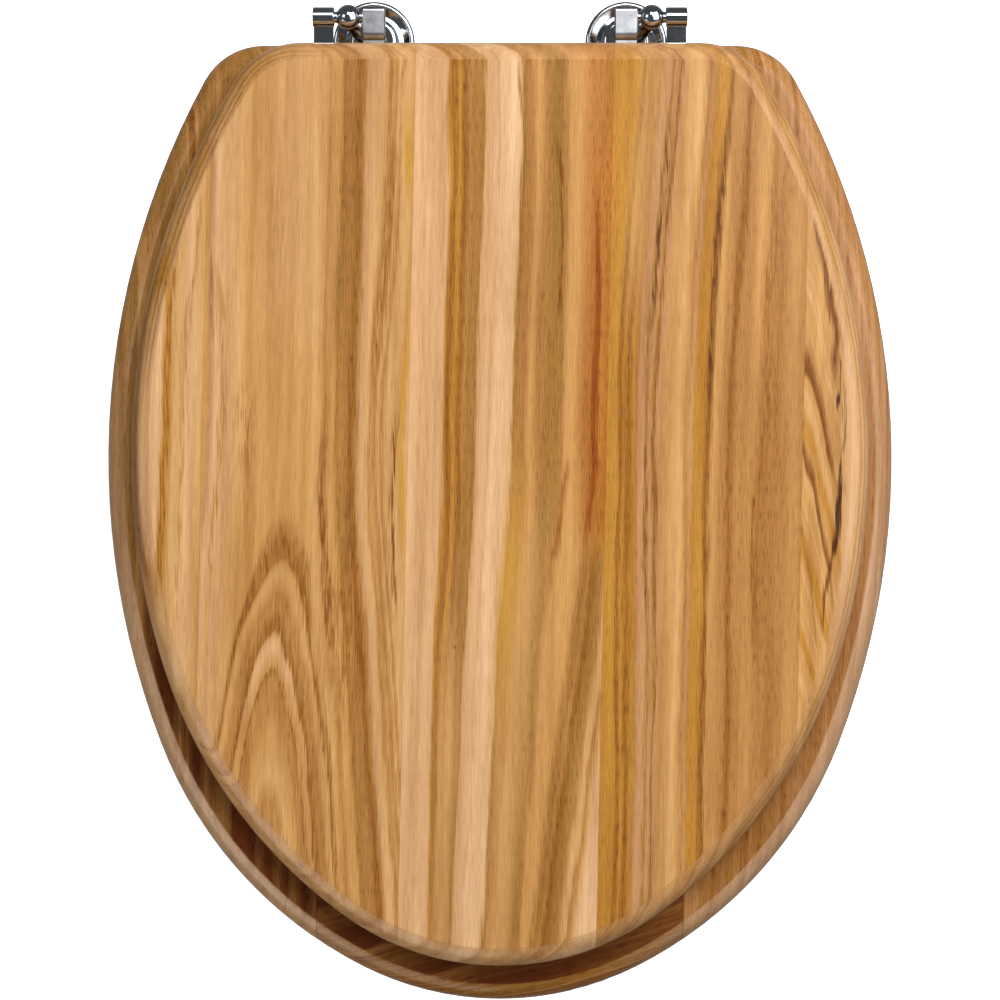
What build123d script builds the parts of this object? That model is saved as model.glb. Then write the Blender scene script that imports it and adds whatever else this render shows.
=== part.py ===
from build123d import *
from math import cos, hypot, radians, sin, sqrt
import os

# Wooden toilet seat, lid down: a lid and a seat ring of glued boards on two chrome ball hinges.
# Millimetres, +Z up, front of the seat toward -Y, hinges toward +Y. The origin is midway between
# the two mounting studs, on the top face of the pan that the seat is bolted to.

# Seat ring
ring_width = 370.0
ring_length = 450.0
ring_thick = 18.0
ring_front_radius = 143.4
ring_corner_radius = 32.0
ring_turns = (26.7, 68.9, 118.6)
ring_round = 12.0
ring_band = 9.0
ring_under_round = 3.0
opening_width = 232.0
opening_back_reach = 112.0
opening_front_reach = 178.0
opening_back_land = 86.0
opening_round = 8.0

# Lid
lid_width = 344.0
lid_length = 430.0
lid_thick = 17.0
lid_front_radius = 124.4
lid_corner_radius = 36.0
lid_turns = (36.1, 73.9, 121.1)
lid_round = 13.0
lid_band = 9.5
lid_under_round = 2.0
lid_setback = 1.5

# Hinge line, posts and studs
stud_spacing = 120.0
post_spacing = 142.0
axis_back = 8.0
wood_setback = 11.5
hinge_gap = 5.0
ball_radius = 5.9
collar_radius = 3.5
knuckle_gap = 0.35
ball_gap = 0.7
pin_radius = 2.4
pin_recess = 0.4
pin_play = 0.05
press_play = 0.02

# Hinge leaves
barrel_radius = 4.7
barrel_length = 10.0
barrel_chamfer = 0.4
block_size = 9.4
block_round = 2.2
block_length = 10.8
block_reach = 11.5
block_nose = 3.8
nose_edge = 0.6
block_chamfer = 0.5
leaf_width = 21.0
leaf_length = 36.0
leaf_setback = 6.0
leaf_round = 6.0
leaf_screw_pitch = 11.0
leaf_screw_edge = 7.0

# Hinge base
gasket_thick = 2.0
gasket_radius = 18.4
disc_radius = 19.3
disc_thick = 4.4
rim_round = 1.5
rim_inner_round = 1.0
rim_inner_turn = 60.0
dish_depth = 2.2
dish_curve = 45.0
hub_radius = 11.6
hub_play = 0.3
hub_height = 6.1
hub_round = 2.6
neck_foot_radius = 5.2
neck_waist_radius = 3.8
neck_top_radius = 3.3
neck_foot_reach = 5.2
neck_waist_reach = 11.4

# Mounting studs and what clamps them under the pan
stud_radius = 4.0
stud_shank = 22.0
spigot_radius = 3.2
spigot_play = 0.05
hub_cap = 1.1
thread_radius = 3.85
thread_length = 42.0
bolt_play = 0.15
cone_top_radius = 6.6
cone_radius = 12.0
cone_height = 7.0
cone_flange = 2.0
washer_radius = 11.0
washer_thick = 1.6
nut_radius = 7.5
nut_height = 11.0
wing_reach = 19.0
wing_thick = 3.2
wing_height = 15.0

# Wood screws and buffers
screw_radius = 1.75
screw_head_radius = 3.4
screw_length = 13.0
screw_tip = 2.5
screw_play = 0.08
ring_buffer_height = 12.0
ring_buffer_length = 38.0
ring_buffer_width = 15.0
ring_buffer_taper = 4.0
ring_buffer_front = (106.0, 343.0, 38.0)
ring_buffer_rear = (146.0, 118.0, 78.0)
lid_buffer_radius = 8.5
lid_buffer_front = (78.0, 370.0)
lid_buffer_rear = (128.0, 66.0)
buffer_screw_radius = 1.9
buffer_screw_head = 3.8
buffer_screw_head_height = 1.6
buffer_screw_grip = 11.0
ring_buffer_floor = 6.0
lid_buffer_floor = 2.2
buffer_round = 1.2

# Heights and places that follow from the sizes above
ring_under = ring_buffer_height
ring_top = ring_under + ring_thick
lid_under = ring_top + hinge_gap
lid_top = lid_under + lid_thick
axis_height = ring_top + hinge_gap / 2
leaf_thick = hinge_gap / 2
ring_back = axis_back - wood_setback
lid_back = ring_back - lid_setback
leaf_back = ring_back - leaf_setback
leaf_mid = leaf_back - leaf_length / 2
disc_under = gasket_thick
disc_top = disc_under + disc_thick
hub_under = disc_top - dish_depth
hub_top = hub_under + hub_height
shank_end = -stud_shank
stud_end = shank_end - thread_length
cone_under = shank_end - cone_height - cone_flange
washer_under = cone_under - washer_thick
opening_middle = ring_back - opening_back_land - opening_back_reach
barrel_start = post_spacing / 2 + ball_radius + ball_gap
barrel_middle = barrel_start + barrel_length / 2
block_start = post_spacing / 2 - ball_radius - ball_gap - block_length
block_middle = block_start + block_length / 2
post_reach = (post_spacing / 2 - stud_spacing / 2, axis_back)
post_distance = hypot(*post_reach)
pilot_radius = screw_radius + screw_play
buffer_pilot_radius = buffer_screw_radius + screw_play
head_bore_radius = buffer_screw_head + screw_play

os.makedirs("parts", exist_ok=True)


def export(piece, label):
    """Names a finished piece and writes it as its own STEP file."""
    piece.part.label = label
    export_step(piece.part, f"parts/{label}.step")


def plan_outline(width, length, front_radius, corner_radius, turns, back):
    """Plan of the ring or the lid: four tangent arcs a side, from the front tip round to a straight back.

    turns are the outline's headings, in degrees, at the ends of the front, cheek and flank arcs. The cheek
    and flank radii are those that make the outline's half width and length come out as stated.
    """
    s1, s2 = (sin(radians(turn)) for turn in turns[:2])
    c1, c2, c3 = (cos(radians(turn)) for turn in turns)
    half_left = width / 2 - front_radius * s1
    length_left = length - front_radius * (1 - c1) - corner_radius * (c3 + 1)
    scale = (s2 - s1) * (c2 - c3) - (1 - s2) * (c1 - c2)
    cheek_radius = (half_left * (c2 - c3) - length_left * (1 - s2)) / scale
    flank_radius = (length_left * (s2 - s1) - half_left * (c1 - c2)) / scale
    with BuildSketch() as plan:
        with BuildLine():
            front = JernArc((0, back - length), (1, 0), front_radius, turns[0])
            cheek = JernArc(front @ 1, front % 1, cheek_radius, turns[1] - turns[0])
            flank = JernArc(cheek @ 1, cheek % 1, flank_radius, turns[2] - turns[1])
            corner = JernArc(flank @ 1, flank % 1, corner_radius, 180 - turns[2])
            Line(corner @ 1, (0, back))
            mirror(about=Plane.YZ)
        make_face()
    return plan.sketch


def edge_rise(radius, band):
    """Height that a round-over would still climb past the arris that the flat face cuts into it."""
    return radius - sqrt(radius**2 - (radius - band) ** 2)


def leaf_screws(middle):
    """Plan places of the three screws of a hinge leaf whose middle line is at x = middle."""
    rear = leaf_back - leaf_screw_edge
    front = leaf_back - leaf_length + leaf_screw_edge
    return [
        (middle - leaf_screw_pitch / 2, rear),
        (middle + leaf_screw_pitch / 2, rear),
        (middle, front),
    ]


def buffer_places(front, rear):
    """Places of four buffers, given as half distance apart and distance from the ring's back edge."""
    places = {}
    for end, place in (("front", front), ("rear", rear)):
        for side, sign in (("left", -1), ("right", 1)):
            places[f"{end}_{side}"] = (sign * place[0], ring_back - place[1], sign)
    return places


ring_buffers = buffer_places(ring_buffer_front, ring_buffer_rear)
lid_buffers = buffer_places(lid_buffer_front, lid_buffer_rear)
sides = {"left": -1, "right": 1}
ring_leaf_screws = [p for s in sides.values() for p in leaf_screws(s * barrel_middle)]
lid_leaf_screws = [p for s in sides.values() for p in leaf_screws(s * block_middle)]

# Seat ring: glued boards cut to an oval with a round-over that leaves a crisp arris on the flat top
with BuildPart() as seat_ring:
    with BuildSketch(Plane.XY.offset(ring_under)):
        add(
            plan_outline(
                ring_width, ring_length, ring_front_radius, ring_corner_radius, ring_turns, ring_back
            )
        )
    extrude(amount=ring_thick + edge_rise(ring_round, ring_band))
    fillet(seat_ring.faces().sort_by(Axis.Z)[-1].edges(), ring_round)
    split(bisect_by=Plane.XY.offset(ring_top), keep=Keep.BOTTOM)
    fillet(seat_ring.faces().sort_by(Axis.Z)[0].edges(), ring_under_round)
    with BuildSketch(Plane.XY.offset(ring_under)):
        with BuildLine():
            for reach, start in ((opening_back_reach, 0), (opening_front_reach, 180)):
                EllipticalCenterArc(
                    (0, opening_middle), opening_width / 2, reach, start_angle=start, arc_size=180
                )
        make_face()
    extrude(amount=ring_thick, mode=Mode.SUBTRACT)
    fillet(seat_ring.faces().sort_by(Axis.Z)[-1].inner_wires()[0].edges(), opening_round)
    fillet(seat_ring.faces().sort_by(Axis.Z)[0].inner_wires()[0].edges(), ring_under_round)
    with Locations(*[(x, y, ring_top) for x, y in ring_leaf_screws]):
        Hole(pilot_radius, depth=screw_length - leaf_thick + 1)
    with Locations(*[(x, y, ring_under) for x, y, sign in ring_buffers.values()]):
        Cylinder(
            buffer_pilot_radius,
            buffer_screw_grip + 1,
            align=(Align.CENTER, Align.CENTER, Align.MIN),
            mode=Mode.SUBTRACT,
        )
export(seat_ring, "seat_ring")

# Lid: the same outline, smaller, with a softer round-over and the leaf and buffer screws from below
with BuildPart() as lid:
    with BuildSketch(Plane.XY.offset(lid_under)):
        add(
            plan_outline(
                lid_width, lid_length, lid_front_radius, lid_corner_radius, lid_turns, lid_back
            )
        )
    extrude(amount=lid_thick + edge_rise(lid_round, lid_band))
    fillet(lid.faces().sort_by(Axis.Z)[-1].edges(), lid_round)
    split(bisect_by=Plane.XY.offset(lid_top), keep=Keep.BOTTOM)
    fillet(lid.faces().sort_by(Axis.Z)[0].edges(), lid_under_round)
    with Locations(*[(x, y, lid_under) for x, y in lid_leaf_screws]):
        Cylinder(
            pilot_radius,
            screw_length - leaf_thick + 1,
            align=(Align.CENTER, Align.CENTER, Align.MIN),
            mode=Mode.SUBTRACT,
        )
    with Locations(*[(x, y, lid_under) for x, y, sign in lid_buffers.values()]):
        Cylinder(
            buffer_pilot_radius,
            buffer_screw_grip + 1,
            align=(Align.CENTER, Align.CENTER, Align.MIN),
            mode=Mode.SUBTRACT,
        )
export(lid, "lid")

# Ring buffers: moulded rubber bars under the ring, tapered to the foot, each with one sunk screw
for place, (x, y, sign) in ring_buffers.items():
    turn = ring_buffer_front[2] if "front" in place else ring_buffer_rear[2]
    with BuildPart() as ring_buffer:
        with BuildSketch(Plane((x, y, ring_under), z_dir=(0, 0, -1))):
            SlotOverall(ring_buffer_length, ring_buffer_width, rotation=-sign * turn)
        extrude(amount=ring_buffer_height, taper=ring_buffer_taper)
        fillet(ring_buffer.faces().sort_by(Axis.Z)[0].edges(), buffer_round)
        with Locations(Plane((x, y, 0), z_dir=(0, 0, -1))):
            CounterBoreHole(
                buffer_pilot_radius,
                head_bore_radius,
                ring_buffer_height - ring_buffer_floor,
                depth=ring_buffer_height,
            )
    export(ring_buffer, f"ring_buffer_{place}")

# Lid buffers: low rubber buttons under the lid that rest on the ring's flat top
for place, (x, y, sign) in lid_buffers.items():
    with BuildPart() as lid_buffer:
        with BuildSketch(Plane((x, y, lid_under), z_dir=(0, 0, -1))):
            Circle(lid_buffer_radius)
        extrude(amount=hinge_gap)
        fillet(lid_buffer.faces().sort_by(Axis.Z)[0].edges(), buffer_round)
        with Locations(Plane((x, y, ring_top), z_dir=(0, 0, -1))):
            CounterBoreHole(
                buffer_pilot_radius,
                head_bore_radius,
                hinge_gap - lid_buffer_floor,
                depth=hinge_gap,
            )
    export(lid_buffer, f"lid_buffer_{place}")

# Screw patterns, point up with the head's seat at the origin: countersunk for leaves, round for buffers
with BuildPart() as leaf_screw:
    with BuildSketch(Plane.XZ):
        with BuildLine():
            Polyline(
                (0, 0),
                (screw_head_radius, 0),
                (screw_radius, screw_head_radius - screw_radius),
                (screw_radius, screw_length - screw_tip),
                (0, screw_length),
                close=True,
            )
        make_face()
    revolve(axis=Axis.Z)


def buffer_screw(floor):
    """A round-headed screw through a buffer whose rubber floor under the head is this thick."""
    with BuildPart() as screw:
        with BuildSketch(Plane.XZ):
            with BuildLine():
                dome = ThreePointArc(
                    (0, -buffer_screw_head_height),
                    (0.72 * buffer_screw_head, -0.72 * buffer_screw_head_height),
                    (buffer_screw_head, 0),
                )
                Polyline(
                    dome @ 1,
                    (buffer_screw_radius, 0),
                    (buffer_screw_radius, floor + buffer_screw_grip - screw_tip),
                    (0, floor + buffer_screw_grip),
                    dome @ 0,
                )
            make_face()
        revolve(axis=Axis.Z)
    return screw.part


with BuildPart() as ring_buffer_screws:
    with Locations(*[(x, y, ring_under - ring_buffer_floor) for x, y, sign in ring_buffers.values()]):
        add(buffer_screw(ring_buffer_floor))
export(ring_buffer_screws, "ring_buffer_screws")

with BuildPart() as lid_buffer_screws:
    with Locations(*[(x, y, lid_under - lid_buffer_floor) for x, y, sign in lid_buffers.values()]):
        add(buffer_screw(lid_buffer_floor))
export(lid_buffer_screws, "lid_buffer_screws")

# The two hinges, left and right
for side, sign in sides.items():
    stud_x = sign * stud_spacing / 2
    post_x = sign * post_spacing / 2
    stud_plane = Plane((stud_x, 0, 0), x_dir=(1, 0, 0), z_dir=(0, -1, 0))
    stud_axis = Axis((stud_x, 0, 0), (0, 0, 1))
    barrel_plane = Plane.YZ.offset(sign * barrel_middle)
    block_plane = Plane.YZ.offset(sign * block_middle)

    # Gasket: soft ring between the hinge base and the pan
    with BuildPart() as base_gasket:
        with BuildSketch():
            with Locations((stud_x, 0)):
                Circle(gasket_radius)
                Circle(stud_radius + bolt_play, mode=Mode.SUBTRACT)
        extrude(amount=gasket_thick)
    export(base_gasket, f"base_gasket_{side}")

    # Base disc: round chrome saucer with a rolled rim and a flat seat for the post's hub
    with BuildPart() as base_disc:
        with BuildSketch(stud_plane):
            with BuildLine():
                rim = JernArc((disc_radius, disc_top - rim_round), (0, 1), rim_round, 90)
                lip = JernArc(rim @ 1, rim % 1, rim_inner_round, rim_inner_turn)
                dish = RadiusArc(lip @ 1, (hub_radius + hub_play, hub_under), dish_curve)
                Polyline(
                    dish @ 1,
                    (stud_radius + bolt_play, hub_under),
                    (stud_radius + bolt_play, disc_under),
                    (disc_radius, disc_under),
                    rim @ 0,
                )
            make_face()
        revolve(axis=stud_axis)
    export(base_disc, f"base_disc_{side}")

    # Hinge post: one casting of a hub on the stud, a neck that swings out to the post line, and the ball
    with BuildPart() as hinge_post:
        with BuildSketch(Plane.XY.offset(hub_under)):
            with Locations((stud_x, 0)):
                Circle(hub_radius)
        extrude(amount=hub_height)
        fillet(hinge_post.faces().sort_by(Axis.Z)[-1].edges(), hub_round)
        neck = (
            (hub_top - hub_round / 2, neck_foot_reach, neck_foot_radius),
            ((hub_top + axis_height) / 2 - ball_radius / 2, neck_waist_reach, neck_waist_radius),
            (axis_height - ball_radius / 2, post_distance, neck_top_radius),
        )
        for height, reach, radius in neck:
            share = reach / post_distance
            with BuildSketch(Plane.XY.offset(height)):
                with Locations((stud_x + sign * share * post_reach[0], share * post_reach[1])):
                    Circle(radius)
        loft()
        with Locations((post_x, axis_back, axis_height)):
            Sphere(ball_radius)
            Cylinder(collar_radius, 2 * (ball_radius + ball_gap - knuckle_gap), rotation=(0, 90, 0))
            Cylinder(pin_radius + press_play, 4 * ball_radius, rotation=(0, 90, 0), mode=Mode.SUBTRACT)
        with Locations((stud_x, 0, hub_under)):
            Cylinder(
                spigot_radius + spigot_play,
                hub_height - hub_cap,
                align=(Align.CENTER, Align.CENTER, Align.MIN),
                mode=Mode.SUBTRACT,
            )
    export(hinge_post, f"hinge_post_{side}")

    # Hinge pin: pressed through the ball, with a knuckle turning on each end
    pin_ends = (block_start + pin_recess, barrel_start + barrel_length - pin_recess)
    with BuildPart() as hinge_pin:
        with BuildSketch(Plane.YZ.offset(sign * sum(pin_ends) / 2)):
            with Locations((axis_back, axis_height)):
                Circle(pin_radius)
        extrude(amount=(pin_ends[1] - pin_ends[0]) / 2, both=True)
        chamfer(hinge_pin.edges().filter_by(GeomType.CIRCLE), pin_recess)
    export(hinge_pin, f"hinge_pin_{side}")

    # Ring leaf: outer knuckle, a round barrel with a flat strap to the plate screwed on the ring
    with BuildPart() as ring_leaf:
        with BuildSketch(barrel_plane):
            with Locations((axis_back, axis_height)):
                Circle(barrel_radius)
        extrude(amount=barrel_length / 2, both=True)
        chamfer(ring_leaf.edges().filter_by(GeomType.CIRCLE), barrel_chamfer)
        with BuildSketch(barrel_plane):
            with Locations((leaf_back, ring_top)):
                Rectangle(axis_back - leaf_back, leaf_thick, align=Align.MIN)
        extrude(amount=barrel_length / 2 - barrel_chamfer, both=True)
        with BuildSketch(Plane.XY.offset(ring_top)):
            with Locations((sign * barrel_middle, leaf_mid)):
                RectangleRounded(leaf_width, leaf_length, leaf_round)
        extrude(amount=leaf_thick)
        with BuildSketch(barrel_plane):
            with Locations((axis_back, axis_height)):
                Circle(pin_radius + pin_play)
        extrude(amount=barrel_length, both=True, mode=Mode.SUBTRACT)
        with Locations(*[(x, y, ring_top + leaf_thick) for x, y in leaf_screws(sign * barrel_middle)]):
            CounterSinkHole(pilot_radius, screw_head_radius + screw_play, counter_sink_angle=90)
    export(ring_leaf, f"ring_leaf_{side}")

    # Lid leaf: inner knuckle, a squared block with a nose towards the lid and its strap under the lid
    with BuildPart() as lid_leaf:
        with BuildSketch(block_plane):
            with BuildLine():
                FilletPolyline(
                    (axis_back + block_size / 2, axis_height + block_size / 2),
                    (axis_back - block_reach, axis_height + block_size / 2),
                    (axis_back - block_reach, lid_under - leaf_thick),
                    (axis_back - block_size / 2, lid_under - leaf_thick),
                    (axis_back - block_size / 2, axis_height - block_size / 2),
                    (axis_back + block_size / 2, axis_height - block_size / 2),
                    radius=[block_round, block_nose, nose_edge, block_round, block_round, block_round],
                    close=True,
                )
            make_face()
        extrude(amount=block_length / 2, both=True)
        chamfer(lid_leaf.faces().filter_by(Axis.X).edges(), block_chamfer)
        with BuildSketch(block_plane):
            with Locations((leaf_back, lid_under - leaf_thick)):
                Rectangle(axis_back - leaf_back, leaf_thick, align=Align.MIN)
        extrude(amount=block_length / 2 - block_chamfer, both=True)
        with BuildSketch(Plane.XY.offset(lid_under - leaf_thick)):
            with Locations((sign * block_middle, leaf_mid)):
                RectangleRounded(leaf_width, leaf_length, leaf_round)
        extrude(amount=leaf_thick)
        with BuildSketch(block_plane):
            with Locations((axis_back, axis_height)):
                Circle(pin_radius + pin_play)
        extrude(amount=block_length, both=True, mode=Mode.SUBTRACT)
        under = [
            Plane((x, y, lid_under - leaf_thick), z_dir=(0, 0, -1))
            for x, y in leaf_screws(sign * block_middle)
        ]
        with Locations(*under):
            CounterSinkHole(pilot_radius, screw_head_radius + screw_play, counter_sink_angle=90)
    export(lid_leaf, f"lid_leaf_{side}")

    # Leaf screws: three down into the ring and three up into the lid
    with BuildPart() as ring_screws:
        down = [
            Plane((x, y, ring_top + leaf_thick), z_dir=(0, 0, -1))
            for x, y in leaf_screws(sign * barrel_middle)
        ]
        with Locations(*down):
            add(leaf_screw.part)
    export(ring_screws, f"ring_leaf_screws_{side}")
    with BuildPart() as lid_screws:
        with Locations(*[(x, y, lid_under - leaf_thick) for x, y in leaf_screws(sign * block_middle)]):
            add(leaf_screw.part)
    export(lid_screws, f"lid_leaf_screws_{side}")

    # Mounting stud: spigot fixed in the post's hub, plain shank through the pan, thread below it
    spigot_end = hub_top - hub_cap
    with BuildPart() as mounting_stud:
        with BuildSketch(stud_plane):
            with BuildLine():
                Polyline(
                    (0, spigot_end),
                    (spigot_radius, spigot_end),
                    (spigot_radius, 0),
                    (stud_radius, 0),
                    (stud_radius, shank_end),
                    (thread_radius, shank_end),
                    (thread_radius, stud_end + thread_radius / 3),
                    (2 / 3 * thread_radius, stud_end),
                    (0, stud_end),
                    close=True,
                )
            make_face()
        revolve(axis=stud_axis)
    export(mounting_stud, f"mounting_stud_{side}")

    # Cone washer: soft bush that centres the stud in the pan's hole from below
    with BuildPart() as cone_washer:
        with BuildSketch(stud_plane):
            with BuildLine():
                Polyline(
                    (thread_radius + bolt_play, shank_end),
                    (cone_top_radius, shank_end),
                    (cone_radius, shank_end - cone_height),
                    (cone_radius, cone_under),
                    (thread_radius + bolt_play, cone_under),
                    close=True,
                )
            make_face()
        revolve(axis=stud_axis)
    export(cone_washer, f"cone_washer_{side}")

    # Plate washer: flat ring that the wing nut turns on
    with BuildPart() as plate_washer:
        with BuildSketch(Plane.XY.offset(washer_under)):
            with Locations((stud_x, 0)):
                Circle(washer_radius)
                Circle(thread_radius + bolt_play, mode=Mode.SUBTRACT)
        extrude(amount=washer_thick)
    export(plate_washer, f"plate_washer_{side}")

    # Wing nut: moulded, a round hub with two swept wings
    with BuildPart() as wing_nut:
        with BuildSketch(Plane.XY.offset(washer_under)):
            with Locations((stud_x, 0)):
                Circle(nut_radius)
        extrude(amount=-nut_height, taper=4)
        with BuildSketch(stud_plane):
            with BuildLine():
                Polyline(
                    (0, washer_under - wing_thick / 2),
                    (nut_radius, washer_under - wing_thick / 2),
                    (wing_reach, washer_under - wing_height / 3),
                    (wing_reach - wing_thick / 2, washer_under - wing_height),
                    (wing_reach - 1.8 * wing_thick, washer_under - wing_height),
                    (nut_radius / 2, washer_under - nut_height + wing_thick / 2),
                    (0, washer_under - nut_height + wing_thick / 2),
                )
                mirror(about=Plane.YZ)
            make_face()
        extrude(amount=wing_thick / 2, both=True)
        tips = wing_nut.edges().filter_by(Axis.Y).sort_by_distance((stud_x, 0, washer_under))[-4:]
        fillet(tips, wing_thick / 2)
        with BuildSketch(Plane.XY.offset(washer_under)):
            with Locations((stud_x, 0)):
                Circle(thread_radius + pin_play)
        extrude(amount=-nut_height - wing_height, mode=Mode.SUBTRACT)
    export(wing_nut, f"wing_nut_{side}")
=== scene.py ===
import bmesh
import bpy
import numpy as np
from math import radians
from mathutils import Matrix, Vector


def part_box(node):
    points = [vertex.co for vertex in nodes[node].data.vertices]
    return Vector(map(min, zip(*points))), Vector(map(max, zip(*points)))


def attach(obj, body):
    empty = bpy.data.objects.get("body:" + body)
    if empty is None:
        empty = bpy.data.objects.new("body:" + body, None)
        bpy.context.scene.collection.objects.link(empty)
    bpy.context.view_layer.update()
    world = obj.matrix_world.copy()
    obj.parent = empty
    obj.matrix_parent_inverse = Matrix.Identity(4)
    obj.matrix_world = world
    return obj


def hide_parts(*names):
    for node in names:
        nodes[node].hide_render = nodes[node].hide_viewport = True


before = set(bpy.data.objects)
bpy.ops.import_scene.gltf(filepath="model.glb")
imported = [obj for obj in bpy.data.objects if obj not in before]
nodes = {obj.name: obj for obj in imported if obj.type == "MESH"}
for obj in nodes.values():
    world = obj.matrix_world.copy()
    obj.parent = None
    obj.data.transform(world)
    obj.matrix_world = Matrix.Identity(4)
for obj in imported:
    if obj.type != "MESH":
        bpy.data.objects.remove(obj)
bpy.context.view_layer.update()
sides = {"left": -1, "right": 1}

# Mounting studs: zinc-plated steel bolts fixed in the hinge posts, with a plain shank through the pan and a
# rolled thread below it for the wing nut. Lengths are in millimetres.
stud_x = 60.0
stud_profile = {"spigot": (3.2, 9.2), "shank": (4.0, 0.0), "thread": (3.85, -22.0), "end": (2.6, -64.0)}
thread_pitch = 1.25
thread_depth = 0.55
thread_rows = 300
thread_lead = 0.3
end_chamfer = 1.3
runout_gap = 0.8
runout_length = 1.2


def tone(red, green, blue):
    """A display colour, 0 to 255 a channel, as the linear colour that a shader takes."""
    shade = np.array([red, green, blue]) / 255
    linear = np.where(shade <= 0.04045, shade / 12.92, ((shade + 0.055) / 1.055) ** 2.4)
    return (*[round(float(part), 4) for part in linear], 1.0)


class Finish:
    """One material. Each call adds nodes and gives back an output. Numbers, colours or outputs are fed in."""

    def __init__(self, name):
        self.material = bpy.data.materials.new(name)
        self.material.use_nodes = True
        self.tree = self.material.node_tree
        self.shader = self.tree.nodes["Principled BSDF"]
        place = self.node("TexCoord", {}, out="Object")
        self.place = self.node("VectorMath", {0: place, "Scale": 1000.0}, operation="SCALE")

    def node(self, kind, feeds, out=0, **settings):
        """Any node, with its settings and what its sockets are fed."""
        made = self.tree.nodes.new("ShaderNode" + kind)
        for name, value in settings.items():
            setattr(made, name, value)
        for socket, value in feeds.items():
            if isinstance(value, bpy.types.NodeSocket):
                self.tree.links.new(value, made.inputs[socket])
            else:
                made.inputs[socket].default_value = value
        return made.outputs[out]

    def set(self, socket, value):
        """Feeds one of the shader's own sockets."""
        if isinstance(value, bpy.types.NodeSocket):
            self.tree.links.new(value, self.shader.inputs[socket])
        else:
            self.shader.inputs[socket].default_value = value

    def axes(self):
        """x, y and z of the place, in millimetres."""
        return [self.node("SeparateXYZ", {0: self.place}, out=part) for part in range(3)]

    def math(self, operation, *values):
        """One operation of arithmetic."""
        return self.node("Math", dict(enumerate(values)), operation=operation)

    def sum(self, start, *terms):
        """start plus each value times its weight, terms being (weight, value)."""
        for weight, value in terms:
            start = self.math("MULTIPLY_ADD", value, weight, start)
        return start

    def product(self, first, *rest):
        """All the values multiplied together."""
        for value in rest:
            first = self.math("MULTIPLY", first, value)
        return first

    def ease(self, value, low, high, start=0.0, end=1.0):
        """start at low, end at high, and smooth between them."""
        feeds = {"Value": value, "From Min": low, "From Max": high, "To Min": start, "To Max": end}
        return self.node("MapRange", feeds, interpolation_type="SMOOTHSTEP")

    def near(self, value, centre, reach):
        """1 where value is centre, down to 0 at reach on either side."""
        away = self.math("ABSOLUTE", self.math("SUBTRACT", value, centre))
        return self.ease(away, reach, 0.0)

    def noise(self, point, size, detail=2.0, roughness=0.5):
        """Noise over a point in millimetres, one blotch being about size long in x, y and z."""
        scaled = self.node("VectorMath", {0: point, 1: [1 / s for s in size]}, operation="MULTIPLY")
        feeds = {"Vector": scaled, "Scale": 1.0, "Detail": detail, "Roughness": roughness}
        return self.node("TexNoise", feeds)

    def bands(self, distance, size, detail=2.0, roughness=0.5):
        """Noise along one distance in millimetres: bands about size wide."""
        feeds = {"W": distance, "Scale": 1 / size, "Detail": detail, "Roughness": roughness}
        return self.node("TexNoise", feeds, noise_dimensions="1D")

    def blend(self, share, under, over, how="MIX"):
        """under where share is 0, and over where it is 1."""
        return self.node("Mix", {0: share, 6: under, 7: over}, out=2, data_type="RGBA", blend_type=how)

    def wash(self, colour, shade, *shares):
        """shade laid over colour, as strong as the product of shares."""
        return self.blend(self.product(*shares), colour, shade)

    def stripes(self, distance, places):
        """Colour along a distance, places being (distance, colour) in rising order."""
        first, last = places[0][0], places[-1][0]
        share = self.node("MapRange", {"Value": distance, "From Min": first, "From Max": last})
        colour = self.node("ValToRGB", {0: share})
        stops = colour.node.color_ramp.elements
        while len(stops) > 1:
            stops.remove(stops[-1])
        stops[0].position = 0.0
        stops[0].color = places[0][1]
        for mark, shade in places[1:]:
            stops.new((mark - first) / (last - first)).color = shade
        return colour

    def curve(self, distance, places):
        """A smooth curve through places, each (distance, height) in rising order, and level beyond them."""
        curve = self.node("FloatCurve", {"Value": distance})
        mapping = curve.node.mapping
        mapping.use_clip = False
        mapping.extend = "HORIZONTAL"
        points = mapping.curves[0].points
        points[0].location, points[1].location = places[0], places[-1]
        for place in places[1:-1]:
            points.new(*place)
        for point in points:
            point.handle_type = "AUTO_CLAMPED"
        mapping.update()
        return curve

    def mark(self, colour, across, along, path, reach, shade, share, cuts=()):
        """A line of shade over colour, on a path of (along, across) places in millimetres.

        The line fades over reach, a distance to either side, and over a fifth of its length at each end. cuts
        break it into dashes.
        """
        start, end = path[0][0], path[-1][0]
        fade = 0.2 * (end - start)
        aside = self.math("SUBTRACT", across, self.curve(along, path))
        edges = self.curve(aside, [(-reach[0], 0), (0, 1), (reach[1], 0)])
        strength = self.curve(along, [(start, 0), (start + fade, share), (end - fade, share), (end, 0)])
        return self.wash(colour, shade, strength, edges, *cuts)

    def bump(self, height, distance, strength=1.0):
        """Relief of the surface, distance in metres where height is 1."""
        feeds = {"Strength": strength, "Distance": distance, "Height": height}
        self.set("Normal", self.node("Bump", feeds))


def turned(radius, height, columns=64):
    """A profile, radius over height, turned about the height. radius may also change round the turn."""
    angle = np.linspace(0, 2 * np.pi, columns, endpoint=False)
    radius = radius.reshape(len(height), -1)
    return np.stack([radius * np.cos(angle), radius * np.sin(angle), height[:, None] + 0 * angle], axis=-1)


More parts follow.
